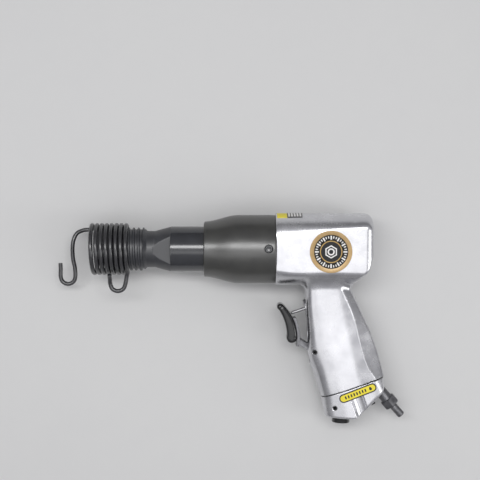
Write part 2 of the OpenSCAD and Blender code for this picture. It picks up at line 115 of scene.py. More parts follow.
# Foot, in the grip's frame
FOOT_BOTTOM, FOOT_WIDEN = -203, 0.5
FOOT_BOTTOM_FRONT, FOOT_BOTTOM_BACK = 123.0, 186.0
FOOT_FRONT, FOOT_LOW = (125.8, -189.9), (151, -199.5)
FOOT_OUTLINE = [(FRONTS[0], SEAM), FOOT_FRONT, FOOT_LOW, (163, -194.2), (180.3, -185.4), (BACKS[0], SEAM)]
FOOT_SLOPE = math.atan2(FOOT_LOW[1] - FOOT_FRONT[1], FOOT_LOW[0] - FOOT_FRONT[0])
FLUTE_U, FLUTE_OUT, FLUTE_R, FLUTE_TOP = 156.4, 2.9, 6, -181
REGULATOR_MOUTH, REGULATOR_BORE_R = (139.6, -195.1), 8.22
REGULATOR_PIN = (136.5, -184.7)
INLET_MOUTH, INLET_BORE_R, INLET_TURN = (178.7, -190.8), 4.86, math.radians(-68)
FOOT_SCREW, SCREW_BORE_R = (166, -188.5, 11), 3.8

# Retainer's wire: a coil with a loop at each end
COIL_X, COIL_R, COIL_TURNS, COIL_ANGLE = -11.8, 19.85, 7.5, -35
WIRE_R = 1.75

# Badge and labels
BADGE = (184.6, -0.2)
BADGE_BASE, BADGE_TOP = 24.9, 25.1
LABEL_AT, LABEL_TURN, LABEL_REACH = (158.3, -178.4), math.radians(2.5), 12.45


# ---------------------------------------------------------------- small helpers
def grip_frame(x, y):
    """Point (x, y) of the tool's frame in the leaning grip's frame."""
    c, s = math.cos(TILT), math.sin(TILT)
    return x * c + y * s, -x * s + y * c


def from_grip(u, v):
    """Point (u, v) of the grip's frame in the tool's frame."""
    c, s = math.cos(TILT), math.sin(TILT)
    return u * c - v * s, u * s + v * c


def smooth_max(a, b, k):
    """The greater of a and b, blended where they differ by less than k."""
    h = np.clip(0.5 + 0.5 * (a - b) / k, 0, 1)
    return b * (1 - h) + a * h + k * h * (1 - h)


def smooth_min(a, b, k):
    """The lesser of a and b, blended in the same way."""
    return -smooth_max(-a, -b, k)


def along(t, stations, values):
    """Cubic curve through values at stations, read at t."""
    ts, vs = np.array(stations, float), np.array(values, float)
    slope = np.gradient(vs, ts)
    t = np.clip(t, ts[0], ts[-1])
    i = np.clip(np.searchsorted(ts, t) - 1, 0, len(ts) - 2)
    h = ts[i + 1] - ts[i]
    s = (t - ts[i]) / h
    return ((2 * s**3 - 3 * s**2 + 1) * vs[i] + (s**3 - 2 * s**2 + s) * h * slope[i]
            + (3 * s**2 - 2 * s**3) * vs[i + 1] + (s**3 - s**2) * h * slope[i + 1])


def smooth_step(t):
    """Eased step from 0 to 1."""
    t = np.clip(t, 0, 1)
    return t * t * (3 - 2 * t)


def link(name, data):
    """A new object in the scene from a mesh, a light or a camera."""
    obj = bpy.data.objects.new(name, data)
    bpy.context.scene.collection.objects.link(obj)
    return obj


def shade(mesh, sharp):
    """Smooth shading, with a crisp edge wherever two faces meet at more than sharp degrees."""
    mesh.shade_smooth()
    mesh.set_sharp_from_angle(angle=math.radians(sharp))


def mesh_from(name, points, faces):
    """Smooth object from points in millimetres."""
    mesh = bpy.data.meshes.new(name)
    mesh.from_pydata((np.asarray(points, float) * MM).tolist(), [], faces)
    mesh.update()
    mesh.shade_smooth()
    return link(name, mesh)


def face_outwards(mesh):
    """Turns every face of a closed mesh outwards."""
    bm = bmesh.new()
    bm.from_mesh(mesh)
    bmesh.ops.recalc_face_normals(bm, faces=bm.faces)
    bm.to_mesh(mesh)
    bm.free()


def settle(obj):
    """Applies the object's modifiers."""
    graph = bpy.context.evaluated_depsgraph_get()
    made = bpy.data.meshes.new_from_object(obj.evaluated_get(graph))
    obj.modifiers.clear()
    obj.data = made


# ---------------------------------------------------------------- surfaces from distance fields
def crossed_cells(value):
    """The grid's cells that the surface crosses, and in each the mean of its crossings with the edges."""
    cells = tuple(n - 1 for n in value.shape)
    total, count = np.zeros(cells + (3,)), np.zeros(cells)
    ends = slice(0, -1), slice(1, None)
    for axis in range(3):
        a, b = [k for k in range(3) if k != axis]
        for ca in (0, 1):
            for cb in (0, 1):
                s0, s1 = [None] * 3, [None] * 3
                s0[axis], s1[axis] = ends
                s0[a] = s1[a] = ends[ca]
                s0[b] = s1[b] = ends[cb]
                v0, v1 = value[tuple(s0)], value[tuple(s1)]
                where = np.nonzero((v0 < 0) != (v1 < 0))
                t = v0[where] / (v0[where] - v1[where])
                spot = np.zeros((len(t), 3))
                spot[:, axis] = t
                spot[:, a], spot[:, b] = ca, cb
                total[where] += spot
                count[where] += 1
    active = np.nonzero(count)
    return active, total[active] / count[active][:, None]


def faces_between(inside, index):
    """A face for every grid edge that the surface crosses, between the points of the four cells about it."""
    faces = []
    for axis in range(3):
        a, b = (axis + 1) % 3, (axis + 2) % 3
        s0, s1 = [slice(1, -1)] * 3, [slice(1, -1)] * 3
        s0[axis], s1[axis] = slice(0, -1), slice(1, None)
        i0, i1 = inside[tuple(s0)], inside[tuple(s1)]
        for start in (True, False):
            at = np.stack(np.nonzero((i0 == start) & (i1 != start)), 1)
            at[:, a] += 1
            at[:, b] += 1
            ring = []
            for da, db in ((-1, -1), (0, -1), (0, 0), (-1, 0)):
                cell = at.copy()
                cell[:, a] += da
                cell[:, b] += db
                ring.append(index[tuple(cell.T)])
            quad = np.stack(ring, 1)
            faces.append(quad if start else quad[:, ::-1])
    return np.concatenate(faces)


def skin(name, field, low, high, step):
    """Mesh of the surface where field(x, y, z) is zero, inside the box from low to high."""
    axes = [np.arange(low[k] - 1.5 * step, high[k] + 2.5 * step, step) for k in range(3)]
    shape = tuple(len(a) for a in axes)
    value = np.empty(shape)
    for i, x in enumerate(axes[0]):
        value[i] = field(np.full(shape[1:], x), axes[1][:, None] + np.zeros(shape[1:]),
                         axes[2][None, :] + np.zeros(shape[1:]))
    cells, spots = crossed_cells(value)
    index = np.full(tuple(n - 1 for n in shape), -1)
    index[cells] = np.arange(len(spots))
    faces = faces_between(value < 0, index)
    points = np.array([a[0] for a in axes]) + (np.stack(cells, 1) + spots) * step

    def slope(p):
        reach = 0.04
        return np.stack([(field(*(p + d).T) - field(*(p - d).T)) / (2 * reach)
                         for d in np.eye(3) * reach], 1)

    # each point slides down the slope onto the surface, and the slope there is its normal
    tiny, stride = 1e-9, 0.35 * step
    for _ in range(3):
        g = slope(points)
        move = g * (field(*points.T) / np.maximum((g * g).sum(1), 0.1))[:, None]
        size = np.linalg.norm(move, axis=1)
        points -= move * np.minimum(1, stride / np.maximum(size, tiny))[:, None]
    normals = slope(points)
    normals /= np.maximum(np.linalg.norm(normals, axis=1), tiny)[:, None]
    obj = mesh_from(name, points, faces.tolist())
    obj.data.normals_split_custom_set_from_vertices(normals.tolist())
    return obj


def hole(x, y, z, at, towards, radius, start, end):
    """Distance to a round bore from a point, along a direction, between start and end."""
    d = np.array(towards, float)
    d /= np.linalg.norm(d)
    px, py, pz = x - at[0], y - at[1], z - at[2]
    t = px * d[0] + py * d[1] + pz * d[2]
    r = np.sqrt(np.maximum(px * px + py * py + pz * pz - t * t, 0))
    return np.maximum(r - radius, np.abs(t - (start + end) / 2) - (end - start) / 2)


def squircle(a, b, half_a, half_b, power):
    """Distance, roughly, to an oval that nears a box as power grows."""
    q = (np.abs(a / half_a) ** power + np.abs(b / half_b) ** power) ** (1 / power)
    return (q - 1) * np.minimum(half_a, half_b)


def grip_section(u, z, front, back, half, round_front=3.0, bevel=FOOT_BEVEL):
    """Distance to the grip's section: round in front, with flat flanks and a bevel on each back corner.

    round_front is the power of the front's oval, and bevel is how far the flat flank stops short of the back,
    and the bevel's depth at the back.
    """
    length, depth = bevel
    middle, round_back = (front + back) / 2, 5.0
    oval = squircle(u - middle, z, (back - front) / 2, half, np.where(u < middle, round_front, round_back))
    corner = (depth * (u - back + length) + length * (np.abs(z) - half)) / np.hypot(depth, length)
    return smooth_max(oval, corner, 0.8)


def planes(field, a, b, outline, softness):
    """The field cut by the straight sides of an outline, whose inside lies to the left."""
    for (a0, b0), (a1, b1), soft in zip(outline, outline[1:], softness):
        da, db = a1 - a0, b1 - b0
        field = smooth_max(field, ((a - a0) * db - (b - b0) * da) / math.hypot(da, db), soft)
    return field


def housing_field(x, y, z):
    """Distance to the housing's casting: a round body with flat flanks, and the grip."""
    # a circle at the barrel's end, squarer towards the back, and more so above than below
    stations = [SLEEVE_TO, SLEEVE_TO + 12, SLEEVE_TO + 46, HOUSING_BACK - 8]
    power = np.where(y > 0, along(x, stations, [2.0, 2.08, 2.3, 2.5]),
                     along(x, stations, [2.0, 2.2, 2.2, 2.3]))
    r = squircle(y, z, HOUSING_R, HOUSING_R, power)
    # the flank's upper edge is soft at the barrel's end and grows crisp towards the back
    soft = 1.2 + 3.6 * smooth_step((190 - x) / 45) * smooth_step(y / 6)
    body = smooth_max(r, np.abs(z) - FLANK_Z, soft)
    body = smooth_max(body, x - HOUSING_BACK, 7)
    body = planes(body, x, y, BACK_CORNER, (3, 2))
    body = smooth_max(body, SLEEVE_TO - x, 0.7)
    u, v = grip_frame(x, y)
    front, back, half = (along(v, HEIGHTS, values) for values in (FRONTS, BACKS, HALVES))
    round_front = along(v, [SEAM, -138, -118, -72], [3.0, 2.8, 4.0, 4.2])
    bevel = along(v, BEVEL_HEIGHTS, BEVEL_LENGTHS), along(v, BEVEL_HEIGHTS, BEVEL_DEPTHS)
    grip = grip_section(u, z, front, back, half, round_front, bevel)
    # a slightly sloping facet along the back of each flank
    facet = FACET_SLOPE * (u - along(v, FACET_HEIGHTS, FACET_EDGE)) + np.abs(z) - half
    grip = smooth_max(grip, facet / FACET_SCALE, 0.25)
    grip = smooth_max(grip, v - GRIP_TOP, 2)
    grip = smooth_max(grip, SEAM + SEAM_GAP - v, SEAM_EASE)
    solid = smooth_min(body, grip, 6.5)
    solid = np.maximum(solid, SLEEVE_TO - x)
    lever_slot = np.maximum(u - LEVER_SLOT_BACK, np.abs(z) - LEVER_SLOT_HALF)
    cuts = [hole(x, y, z, (0, 0, 0), (1, 0, 0), *bore) for bore in HOUSING_BORES]
    cuts += [hole(u, v, z, (0, THROTTLE_V, 0), (1, 0, 0), THROTTLE_BORE_R, 130, 172),
             hole(u, v, z, (*TRIGGER_PIN, 0), (0, 0, 1), PIN_BORE_R, *THROUGH),
             np.maximum(np.abs(v - LEVER_SLOT_V) - LEVER_SLOT_REACH, lever_slot)]
    for cut in cuts:
        solid = smooth_max(solid, -cut, 0.5)
    return solid


def foot_section(u, v, z):
    """Distance to the foot's flanks, front and back."""
    ends = [FOOT_BOTTOM, SEAM]
    front = along(v, ends, [FOOT_BOTTOM_FRONT, FRONTS[0]])
    back = along(v, ends, [FOOT_BOTTOM_BACK, BACKS[0]])
    return grip_section(u, z, front, back, along(v, ends, [FOOT_HALF + FOOT_WIDEN, FOOT_HALF]))


def foot_field(x, y, z):
    """Distance to the foot: its outline, a flute on each flank, and its bores."""
    u, v = grip_frame(x, y)
    foot = smooth_max(foot_section(u, v, z), v - SEAM + SEAM_GAP, SEAM_EASE)
    foot = planes(foot, u, v, FOOT_OUTLINE, (2, 2, 2.5, 4, 4))
    flute = np.hypot(u - FLUTE_U, np.abs(z) - FOOT_HALF - FLUTE_OUT) - FLUTE_R
    foot = smooth_max(foot, -smooth_max(flute, v - FLUTE_TOP, 1), 0.8)
    mouth = from_grip(*REGULATOR_MOUTH)
    lean = FOOT_SLOPE - math.pi / 2 + TILT
    port = from_grip(*INLET_MOUTH)
    turn = INLET_TURN + TILT
    for cut in (
        hole(x, y, z, (*mouth, 0), (math.cos(lean), math.sin(lean), 0), REGULATOR_BORE_R, -18, 8),
        hole(x, y, z, (*port, 0), (math.cos(turn), math.sin(turn), 0), INLET_BORE_R, -14, 8),
        hole(u, v, np.abs(z), FOOT_SCREW, (0, -1, 0), SCREW_BORE_R, 0, 30),
        hole(u, v, z, (*REGULATOR_PIN, 0), (0, 0, 1), PIN_BORE_R, *THROUGH),
    ):
        foot = smooth_max(foot, -cut, 0.5)
    return foot


housing = skin("housing_cast", housing_field, (140, -124, -25), (231.5, 30, 25), 0.65)
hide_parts("housing")
foot_box = [from_grip(u, v) for u in (122, 187) for v in (FOOT_BOTTOM, -173)]
foot = skin("foot_cast", foot_field,
            (min(p[0] for p in foot_box), min(p[1] for p in foot_box), -20),
            (max(p[0] for p in foot_box), max(p[1] for p in foot_box), 20), 0.6)
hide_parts("end_cap")


def pad_field(x, y, z):
    """Trigger pad: a crescent between two arcs, with rounded ends and rounded flanks."""
    front, back = (np.hypot(x - at, y - PAD_ARC_Y) - radius for at, radius in (PAD_FRONT_ARC, PAD_BACK_ARC))
    shape = smooth_max(front, -back, 0.8)
    tip_x, tip_y = x - PAD_TIP[0], y - PAD_TIP[1]
    slope = math.radians(35)
    shape = smooth_max(shape, PAD_FOOT[1] - y, 0.5)
    shape = smooth_max(shape, -math.sin(slope) * tip_x + math.cos(slope) * tip_y, 0.5)
    shape = smooth_min(shape, np.hypot(tip_x, tip_y) - PAD_TIP_R, 0.8)
    shape = smooth_min(shape, np.hypot(x - PAD_FOOT[0], y - PAD_FOOT[1]) - PAD_FOOT_R, 1.2)
    return smooth_max(shape, np.abs(z) - 7.5, 3.0)


pad = skin("trigger_pad_moulded", pad_field, (141, -79, -7.6), (160, -44, 7.6), 0.4)
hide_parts("trigger_pad")


# ---------------------------------------------------------------- turned pieces
def revolve(name, profile, sides, at=None):
    """Turned piece about the X axis from a closed profile of (x, radius); at is a matrix in millimetres."""
    points, faces, ring_of = [], [], []
    for x, r in profile:
        if r < 1e-6:
            ring_of.append([len(points)] * sides)
            points.append((x, 0, 0))
        else:
            ring_of.append([len(points) + j for j in range(sides)])
            points += [(x, r * math.cos(2 * math.pi * j / sides), r * math.sin(2 * math.pi * j / sides))
                       for j in range(sides)]
    for a, b in zip(ring_of, ring_of[1:] + ring_of[:1]):
        for j in range(sides):
            k = (j + 1) % sides
            quad = [a[j], b[j], b[k], a[k]]
            quad = [q for m, q in enumerate(quad) if q != quad[m - 1]]
            if len(quad) > 2:
                faces.append(quad)
    obj = mesh_from(name, points, faces)
    face_outwards(obj.data)
    shade(obj.data, 32)
    if at is not None:
        obj.data.transform(Matrix.Scale(MM, 4) @ at @ Matrix.Scale(1 / MM, 4))
    return obj


def thread_radius(x, turn):
    """Radius of the retainer's thread at x, at an angle in turns."""
    phase = ((x - THREAD_START) / PITCH - turn) % 1
    ridge = np.clip(np.minimum(phase / RIDGE_FLANK, (RIDGE_WIDTH - phase) / RIDGE_FLANK), 0, 1)
    depth = (CREST_R - ROOT_R) * smooth_step(ridge)
    return (ROOT_R + depth * smooth_step((THREAD_TO - x) / THREAD_EASE)
            * smooth_step((x + 0.2) / THREAD_EASE))


def cone_radius(x):
    """Radius of the cone between the neck and the barrel."""
    return NECK_R + (BARREL_R - 0.15 - NECK_R) * (x - CONE_FROM) / (CONE_TO - CONE_FROM)


def barrel_mesh():
    """Barrel with a true screw thread, a neck, a cone with two wrench flats and its bore."""
    sides = 216
    turns = np.arange(sides) / sides
    cosine, sine = np.cos(2 * np.pi * turns), np.sin(2 * np.pi * turns)
    # rows of (x, radius), from the muzzle along the outside and back along the bore; None is the thread
    rows = [(0.0, SHANK_R + 0.5), (0.0, 14.4), (0.25, NECK_R)]
    rows += [(x, None) for x in np.arange(1.3, 33.3, 0.2)]
    rows += [(x, NECK_R + 0.9 * (1 - smooth_step((x - 33.3) / 1.4)))
             for x in np.arange(THREAD_TO, NECK_FROM, 0.3)]
    rows += [(x, NECK_R) for x in np.arange(NECK_FROM + 0.3, 38.5, 0.6)]
    rows += [(x, NECK_R) for x in np.arange(38.6, CONE_FROM, 0.15)]
    rows += [(x, cone_radius(x)) for x in np.arange(CONE_FROM, CONE_TO - 0.01, 0.22)]
    rows.append((CONE_TO, cone_radius(CONE_TO)))
    flats_end = len(rows)
    rows += [(CONE_TO, cone_radius(CONE_TO)), (CONE_TO + 0.35, BARREL_R), (CONE_TO + 1.2, BARREL_R)]
    rows += [(x, BARREL_R) for x in np.arange(60, 119, 6)]
    rows += [(TAIL_FROM - 0.1, BARREL_R), (TAIL_FROM, TAIL_R), (BARREL_TO, TAIL_R), (BARREL_TO, CYLINDER_R),
             (CYLINDER_FROM, CYLINDER_R), (SHANK_BORE, SHANK_R), (0.5, SHANK_R)]
    points, faces = [], []
    for i, (x, r) in enumerate(rows):
        radius = thread_radius(x, turns) if r is None else np.full(sides, float(r))
        y, z = radius * cosine, radius * sine
        if i < flats_end:
            # each flat runs out in a curve on the neck
            depth = FLAT_Z + 0.45 * max((FLAT_FROM - x) / 1.5, 0) ** 2
            z = np.clip(z, -depth, depth)
        points += list(zip(np.full(sides, x), y, z))
    for i in range(len(rows)):
        k = (i + 1) % len(rows)
        for j in range(sides):
            m = (j + 1) % sides
            faces.append((i * sides + j, i * sides + m, k * sides + m, k * sides + j))
    obj = mesh_from("barrel_turned", points, faces)
    face_outwards(obj.data)
    shade(obj.data, 48)
    return obj


barrel = barrel_mesh()
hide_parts("barrel")


def flare(x):
    """Radius of the sleeve where it widens."""
    return SLEEVE_LIP + (SLEEVE_R - SLEEVE_LIP) * smooth_step((x - FLARE_FROM) / (FLARE_TO - FLARE_FROM))


def cut_out(obj, cutter):
    """Takes the cutter's shape out of the object."""
    cut = obj.modifiers.new("cut", "BOOLEAN")
    cut.operation, cut.solver, cut.object = "DIFFERENCE", "EXACT", cutter
    settle(obj)
    bpy.data.objects.remove(cutter)


# the outside from the lip to the housing, then the bore back, with the exhaust chamber as a groove in it
sleeve_profile = [(SLEEVE_FROM, 21.3), (SLEEVE_FROM, 22.1), (81.6, 22.65)]
sleeve_profile += [(x, float(flare(x))) for x in np.linspace(82.1, FLARE_TO, 22)]
sleeve_profile += [
    (139.4, SLEEVE_R), (139.9, SLEEVE_R - 0.15), (140.15, SLEEVE_R - 0.5), (140.15, TAIL_BORE_R),
    (TAIL_FROM, TAIL_BORE_R), (TAIL_FROM, SLEEVE_BORE_R), (112, SLEEVE_BORE_R), (112, CHAMBER_R),
    (99, CHAMBER_R), (99, SLEEVE_BORE_R), (96, SLEEVE_BORE_R), (96, 20.7), (82.2, 20.7), (81.6, 20.9)]
sleeve = revolve("sleeve_turned", sleeve_profile, 200)
upright = (Matrix.Translation((LOCK_X, 0, 0)) @ Matrix.Rotation(-LOCK_TURN, 4, "X")
           @ Matrix.Rotation(-math.pi / 2, 4, "Y"))
screw_hole = [(19, 0), (19, LOCK_R + 0.1), (27.6, LOCK_R + 0.1), (28.4, LOCK_R + 0.5), (30, LOCK_R + 0.5),
              (30, 0)]
cut_out(sleeve, revolve("sleeve_cutter", screw_hole, 48, upright))
shade(sleeve.data, 32)
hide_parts("exhaust_sleeve")

lock_profile = [(20.3, 0), (20.3, LOCK_R - 0.05), (27.45, LOCK_R - 0.05), (27.8, 2.8), (27.8, 1.9),
                (27.3, 1.5), (25.7, 1.5), (25.5, 0)]
lock_screw = revolve("lock_screw_turned", lock_profile, 48, upright)
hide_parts("sleeve_lock_screw")


# ---------------------------------------------------------------- the retainer's wire
def curve_through(points, steps):
    """Smooth curve through points, with a number of steps between each two."""
    out = []
    p = [np.array(q, float) for q in points]
    last = len(p) - 1
    for i in range(last):
        a, b, c, d = p[max(i - 1, 0)], p[i], p[i + 1], p[min(i + 2, last)]
        for j in range(steps):
            t = j / steps
            out.append(0.5 * (2 * b + (c - a) * t + (2 * a - 5 * b + 4 * c - d) * t * t
                              + (3 * b - a - 3 * c + d) * t**3))
    return out + [p[last]]


def swept(name, path, radius, sides=18, rounded=True):
    """Wire of a radius along a path; rounded eases its two ends."""
    path = np.array(path)
    # rings that ease an end, as (distance past it, part of the radius)
    ease_in = (0.0, 0.62), (0.06, 0.82), (0.17, 0.96)
    ease_out = (-0.3, 0.96), (-0.1, 0.82), (0.0, 0.62)
    tangents = np.gradient(path, axis=0)
    tangents /= np.linalg.norm(tangents, axis=1)[:, None]
    normal = np.cross(tangents[0], (0.3, 0.2, 0.9))
    rings, points, faces = [], [], []

    def ring(centre, tangent, across, r):
        side = np.cross(tangent, across)
        rings.append(len(points))
        points.extend(centre + r * (math.cos(a) * across + math.sin(a) * side)
                      for a in np.arange(sides) * 2 * math.pi / sides)

    for i, (centre, tangent) in enumerate(zip(path, tangents)):
        normal = normal - tangent * (normal @ tangent)
        normal /= np.linalg.norm(normal)
        if i == 0 and rounded:
            for forward, r in ease_in:
                ring(centre + tangent * forward, tangent, normal, r * radius)
            continue
        ring(centre, tangent, normal, radius)
        if i == len(path) - 1 and rounded:
            points[rings[-1]:] = [p - tangent * 0.6 for p in points[rings[-1]:]]
            for forward, r in ease_out:
                ring(centre + tangent * forward, tangent, normal, r * radius)
    for a, b in zip(rings, rings[1:]):
        for j in range(sides):
            k = (j + 1) % sides
            faces.append((a + j, b + j, b + k, a + k))
    faces.append([rings[0] + j for j in range(sides)][::-1])
    faces.append([rings[-1] + j for j in range(sides)])
    obj = mesh_from(name, points, faces)
    face_outwards(obj.data)
    return obj


def bend(cx, cy, r, z, start, stop):
    """Five points on an arc between two angles in degrees."""
    angles = [math.radians(start + (stop - start) * i / 4) for i in range(5)]
    return [(cx + r * math.cos(a), cy + r * math.sin(a), z) for a in angles]


def coil_point(t):
    """Point of the coil's centre line, with t from 0 to 1 along it."""
    angle = math.radians(COIL_ANGLE + 360 * COIL_TURNS * t)
    return COIL_X + PITCH * COIL_TURNS * t, COIL_R * math.cos(angle), COIL_R * math.sin(angle)


# the wire's centre line, from the front loop's tip through the coil to the rear loop's tip
front_loop = [(-39.4, -12.5, -9.3), (-39.3, -17.5, -9.3)] + bend(-33.2, -24.1, 6.1, -9.3, 180, 360) + [
    (-27.3, -17, -9.3), (-28.8, -9, -9.3), (-29.2, 0, -9.4), (-28.2, 7, -10), (-25.6, 12.2, -11.2),
    (-20.6, 14.6, -12.8), (-15.8, 15.2, -13.2)]
rear_loop = [(18.5, -18.7, 9.1), (17.7, -22, 7.9)] + bend(10.3, -27.9, 6.3, 7.6, 0, -180) + [
    (4, -24, 9.6), (4, -20, 12.8)]
wire_path = curve_through(front_loop + [coil_point(0)], 10)[:-1]
wire_path += [np.array(coil_point(i / 360)) for i in range(360)]
wire_path += curve_through([coil_point(1)] + rear_loop, 10)
retainer = swept("retainer_wire", wire_path, WIRE_R)
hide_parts("retainer_spring")

spring_path, spring_steps = [], 140
for i in range(spring_steps + 1):
    a = 2 * math.pi * SPRING_TURNS * i / spring_steps
    u, v = SPRING_FROM + SPRING_LENGTH * i / spring_steps, THROTTLE_V + SPRING_R * math.cos(a)
    spring_path.append((*from_grip(u, v), SPRING_R * math.sin(a)))
throttle_coil = swept("throttle_coil", spring_path, SPRING_WIRE_R, 10, rounded=False)
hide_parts("throttle_spring")


# ---------------------------------------------------------------- CAD pieces with eased edges
def eased_copy(node, width, segments=2):
    """A copy of a CAD node with its flat faces joined and its edges rounded."""
    mesh = frame["nodes"][node].data.copy()
    obj = link(node + "_eased", mesh)
    bm = bmesh.new()
    bm.from_mesh(mesh)
    bmesh.ops.remove_doubles(bm, verts=bm.verts, dist=2e-6)
    bmesh.ops.dissolve_limit(bm, angle_limit=math.radians(0.6), verts=bm.verts, edges=bm.edges)
    bm.to_mesh(mesh)
    bm.free()
    if mesh.has_custom_normals:
        mesh.attributes.remove(mesh.attributes["custom_normal"])
    bevel = obj.modifiers.new("ease", "BEVEL")
    bevel.width, bevel.segments, bevel.limit_method = width * MM, segments, "ANGLE"
    bevel.angle_limit = math.radians(28)
    bevel.use_clamp_overlap = True
    settle(obj)
    shade(obj.data, 35)
    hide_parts(node)
    return obj


lever = eased_copy("trigger_lever", 0.45)
plug = eased_copy("inlet_plug", 0.3)
spindle = eased_copy("regulator_spindle", 0.45, 3)
valve_stem = eased_copy("throttle_valve", 0.15)
trigger_pin = eased_copy("trigger_pin", 0.25)
regulator_pin = eased_copy("regulator_pin", 0.25)


# ---------------------------------------------------------------- badge and labels
def badge_prism(name, outline, high):
    """A flat plate with a 2-D outline on the badge, up to a height."""
    n = len(outline)
    points = [(BADGE[0] + a, BADGE[1] + b, height) for height in (BADGE_BASE, high) for a, b in outline]
    faces = [list(range(n))[::-1], list(range(n, 2 * n))]
    faces += [(i, (i + 1) % n, n + (i + 1) % n, n + i) for i in range(n)]
    return mesh_from(name, points, faces)


def badge_ring(name, profile, sides):
    """A ring of the badge from a profile of (height, radius)."""
    return revolve(name, profile, sides,
                   Matrix.Translation((*BADGE, 0)) @ Matrix.Rotation(-math.pi / 2, 4, "Y"))


def joined(name, objects):
    """One object with crisp edges from several, which are removed."""
    mesh = bpy.data.meshes.new(name)
    bm = bmesh.new()
    for o in objects:
        bm.from_mesh(o.data)
        bpy.data.objects.remove(o)
    bm.to_mesh(mesh)
    bm.free()
    shade(mesh, 30)
    return link(name, mesh)


def hexagon(r):
    """Corners of a hexagon with a corner radius."""
    return [(r * math.cos(a), r * math.sin(a)) for a in np.radians(np.arange(30, 390, 60))]


plate_profile = [(24.2, 0), (24.2, 17.1), (BADGE_BASE, 17.2), (25.08, 17.0), (BADGE_TOP, 14.1), (25.0, 13.9),
                 (25.0, 0)]
field_profile = [(BADGE_BASE, 9.0), (BADGE_BASE, 13.85), (25.04, 13.8), (25.04, 9.05)]
line_profile = [(BADGE_BASE, 8.35), (BADGE_TOP, 8.4), (BADGE_TOP, 8.95), (BADGE_BASE, 9.0)]
centre_profile = [(BADGE_BASE, 0), (BADGE_BASE, 8.3), (25.06, 8.3), (25.06, 0)]
badge_plate = badge_ring("badge_plate", plate_profile, 128)
badge_field = badge_ring("badge_field", field_profile, 128)
badge_line = badge_ring("badge_line", line_profile, 96)
badge_centre = badge_ring("badge_centre", centre_profile, 96)
# ticks all round, every third one longer and wider, and a hexagon nut in the middle
marks = []
for i in range(36):
    a = 2 * math.pi * i / 36
    across, near, far = (0.56, 9.9, 13.1) if i % 3 == 0 else (0.38, 10.9, 12.8)
    tick = [(near, -across), (far, -across * 1.15), (far, across * 1.15), (near, across)]
    marks.append(badge_prism("tick", [(r * math.cos(a) - w * math.sin(a), r * math.sin(a) + w * math.cos(a))
                                      for r, w in tick], 25.08))
outer, inner = hexagon(5.4), hexagon(4.3)
for i in range(6):
    k = (i + 1) % 6
    marks.append(badge_prism("nut", [inner[i], outer[i], outer[k], inner[k]], BADGE_TOP))
badge_marks = joined("badge_marks", marks)
nut_profile = [(BADGE_BASE, 1.7), (BADGE_TOP, 1.75), (BADGE_TOP, 2.9), (BADGE_BASE, 2.95)]
badge_nut = badge_ring("badge_nut", nut_profile, 48)
badge_pieces = [badge_plate, badge_field, badge_line, badge_centre, badge_marks, badge_nut]
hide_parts("badge")


def height_on(field, a, b, axis, start, stop):
    """Where the surface is, searching along one axis from outside; a and b are the other two coordinates."""
    low, high = np.full(len(a), float(stop)), np.full(len(a), float(start))
    for _ in range(30):
        middle = (low + high) / 2
        p = [a, b]
        p.insert(axis, middle)
        out = field(*p) > 0
        high, low = np.where(out, middle, high), np.where(out, low, middle)
    return (low + high) / 2


def height_and_slopes(field, a, b, axis, start, stop):
    """The surface's height at (a, b), and how fast it rises along a and along b."""
    e = 0.05
    height = height_on(field, a, b, axis, start, stop)
    return (height, (height_on(field, a + e, b, axis, start, stop) - height) / e,
            (height_on(field, a, b + e, axis, start, stop) - height) / e)


def sticker(name, rings, surface, thickness):
    """A thin layer from rings of points, outermost last; surface(points) gives 3-D points and normals."""
    rings = [surface(np.array(r, float)) for r in rings]
    points, faces = [], []
    n = len(rings[0][0])
    for p, up in rings:
        points += (p + up * thickness).tolist()
    p, up = rings[-1]
    points += (p - up * 0.15).tolist()
    for i in range(len(rings)):
        for j in range(n):
            k = (j + 1) % n
            faces.append((i * n + j, (i + 1) * n + j, (i + 1) * n + k, i * n + k))
    obj = mesh_from(name, points, faces)
    bm = bmesh.new()
    bm.from_mesh(obj.data)
    bmesh.ops.remove_doubles(bm, verts=bm.verts, dist=1e-7)
    bm.to_mesh(obj.data)
    bm.free()
    shade(obj.data, 40)
    return obj


def plain_foot(x, y, z):
    """Distance to the foot without its flutes and bores."""
    return foot_section(*grip_frame(x, y), z)


def on_foot(p):
    """Points of the oil label's plane on the foot's left flank, and the directions out of it."""
    c, s = math.cos(LABEL_TURN), math.sin(LABEL_TURN)
    u, v = LABEL_AT[0] + p[:, 0] * c - p[:, 1] * s, LABEL_AT[1] + p[:, 0] * s + p[:, 1] * c
    x, y = from_grip(u, v)
    z, zx, zy = height_and_slopes(plain_foot, x, y, axis=2, start=30, stop=2)
    up = np.stack([-zx, -zy, np.ones(len(z))], 1)
    return np.stack([x, y, z], 1), up / np.linalg.norm(up, axis=1)[:, None]


def capsule(half, radius):
    """Outline of a bar with round ends."""
    outline = []
    for side in (1, -1):
        outline += [(side * (half + radius * math.cos(a)), side * radius * math.sin(a))
                    for a in np.linspace(-math.pi / 2, math.pi / 2, 15)]
        outline += [(side * half * (1 - 2 * t), side * radius) for t in np.linspace(0.1, 0.9, 12)]
    return outline


def drop(at, n):
    """Outline of a drop with its point up, from n points."""
    middle, half_width, taper, rise, fall = -0.35, 1.15, 0.45, 1.9, 1.25
    outline = []
    for a in np.linspace(0, 2 * math.pi, n, endpoint=False):
        upper = max(math.cos(a), 0)
        outline.append((at + half_width * math.sin(a) * (1 - taper * upper**1.5),
                        middle + (rise if upper else fall) * math.cos(a)))
    return outline


